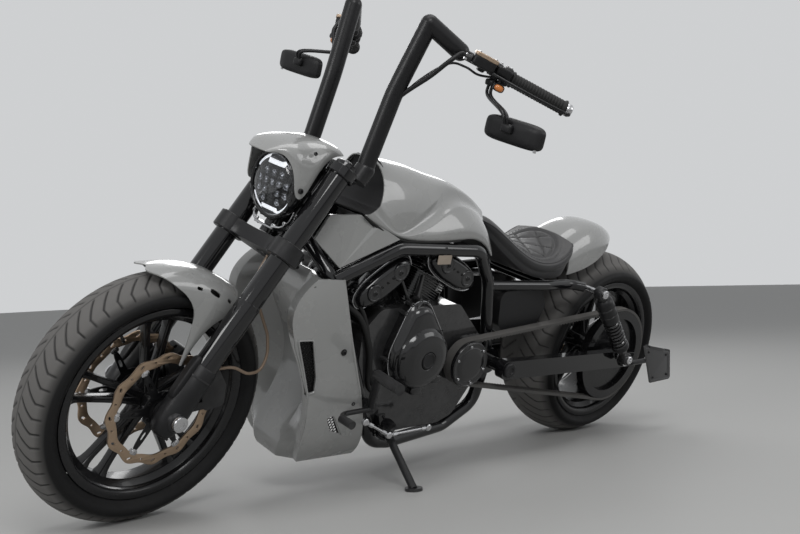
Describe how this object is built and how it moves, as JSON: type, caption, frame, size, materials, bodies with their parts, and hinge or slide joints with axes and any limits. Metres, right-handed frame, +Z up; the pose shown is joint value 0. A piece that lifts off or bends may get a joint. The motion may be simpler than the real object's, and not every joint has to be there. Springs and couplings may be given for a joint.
{
  "type": "chopper motorcycle",
  "caption": "Long, low power cruiser motorcycle with tall bars and an open V-twin engine, leaning on its side stand.",
  "frame": {"origin": "on the floor under the middle of the whole parked machine's box", "axes": "+X forward along the frame, +Y to the machine's left, +Z up; the machine leans to its left on its stand"},
  "size_m": [2.3508, 1.0466, 1.3176],
  "materials": {
    "frame_black": "gloss black paint",
    "satin_black": "satin black powder coat",
    "body_grey": "plain light grey gloss paint",
    "wheel_black": "semi-gloss black",
    "tyre": "dull black rubber",
    "rotor_bronze": "tan ceramic coat on ground steel",
    "bright_steel": "zinc plated and bare steel",
    "engine_black": "satin and gloss black coat on cast alloy",
    "exhaust_black": "black ceramic coat",
    "radiator_black": "black core",
    "belt_rubber": "dusty black toothed rubber",
    "grip_rubber": "ribbed black rubber",
    "seat_leather": "black satin leather",
    "satin_plastic": "moulded black",
    "mesh_black": "black mesh",
    "hose_tan": "braided hose with a tan jacket",
    "lamp_black": "gloss black bezel",
    "lamp_glass": "clear",
    "lamp_white": "white light bars",
    "mirror_face": "silvered",
    "indicator_orange": "amber lens",
    "bronze_trim": "bronze coat"
  },
  "bodies": {
    "chassis": {"steering_head": "frame_black", "frame_left": "frame_black", "frame_right": "frame_black", "seat_frame": "frame_black", "crankcase": "engine_black", "cylinders": "engine_black", "cam_covers": "engine_black", "alternator_cover": "engine_black", "clutch_cover": "engine_black", "front_pulley": "bright_steel", "pulley_cover": "engine_black", "drive_belt": "belt_rubber", "exhaust": "exhaust_black", "radiator": "radiator_black", "radiator_shroud": "body_grey", "tank_cover": "body_grey", "side_panels": "body_grey", "seat": "seat_leather", "tail_cowl": "body_grey", "battery_covers": "satin_plastic", "swingarm": "frame_black", "rear_axle": "bright_steel", "rear_shocks": "satin_black", "rear_caliper": "satin_black", "plate_holder": "satin_black", "foot_controls": "satin_black"},
    "steering": {"fork_left": "frame_black", "fork_right": "frame_black", "upper_clamp": "satin_black", "lower_clamp": "satin_black", "bar_left": "satin_black", "bar_right": "satin_black", "control_left": "satin_black", "control_right": "satin_black", "mirror_left": "satin_black", "mirror_right": "satin_black", "headlamp": "lamp_black", "lamp_cowl": "body_grey", "front_fender": "body_grey", "front_axle": "bright_steel", "front_calipers": "satin_black", "brake_hose": "hose_tan"},
    "front_wheel": {"front_tyre": "tyre", "front_rim": "wheel_black", "front_rotors": "rotor_bronze"},
    "rear_wheel": {"rear_tyre": "tyre", "rear_rim": "wheel_black", "rear_pulley": "wheel_black", "rear_rotor": "rotor_bronze"},
    "stand": {"side_stand": "satin_black"}
  },
  "joints": [
    {"name": "steer", "type": "hinge", "parent": "chassis", "child": "steering", "pos_m": [0.8041, -0.19852, 0.27574], "axis": [-0.5415, 0.2647, 0.7979], "range_deg": [-35.6, 24.4]},
    {"name": "front_spin", "type": "hinge", "parent": "steering", "child": "front_wheel", "pos_m": [0.8543, -0.1827, 0.30455], "axis": [-0.0833, 0.9276, -0.3642], "continuous": true},
    {"name": "rear_spin", "type": "hinge", "parent": "chassis", "child": "rear_wheel", "pos_m": [-0.84541, -0.18568, 0.3208], "axis": [-0.0012, 0.9489, -0.3156], "continuous": true},
    {"name": "stand_fold", "type": "hinge", "parent": "chassis", "child": "stand", "pos_m": [0.18392, -0.07331, 0.14765], "axis": [0.0026, 0.7369, 0.676], "range_deg": [0, 88]}
  ]
}
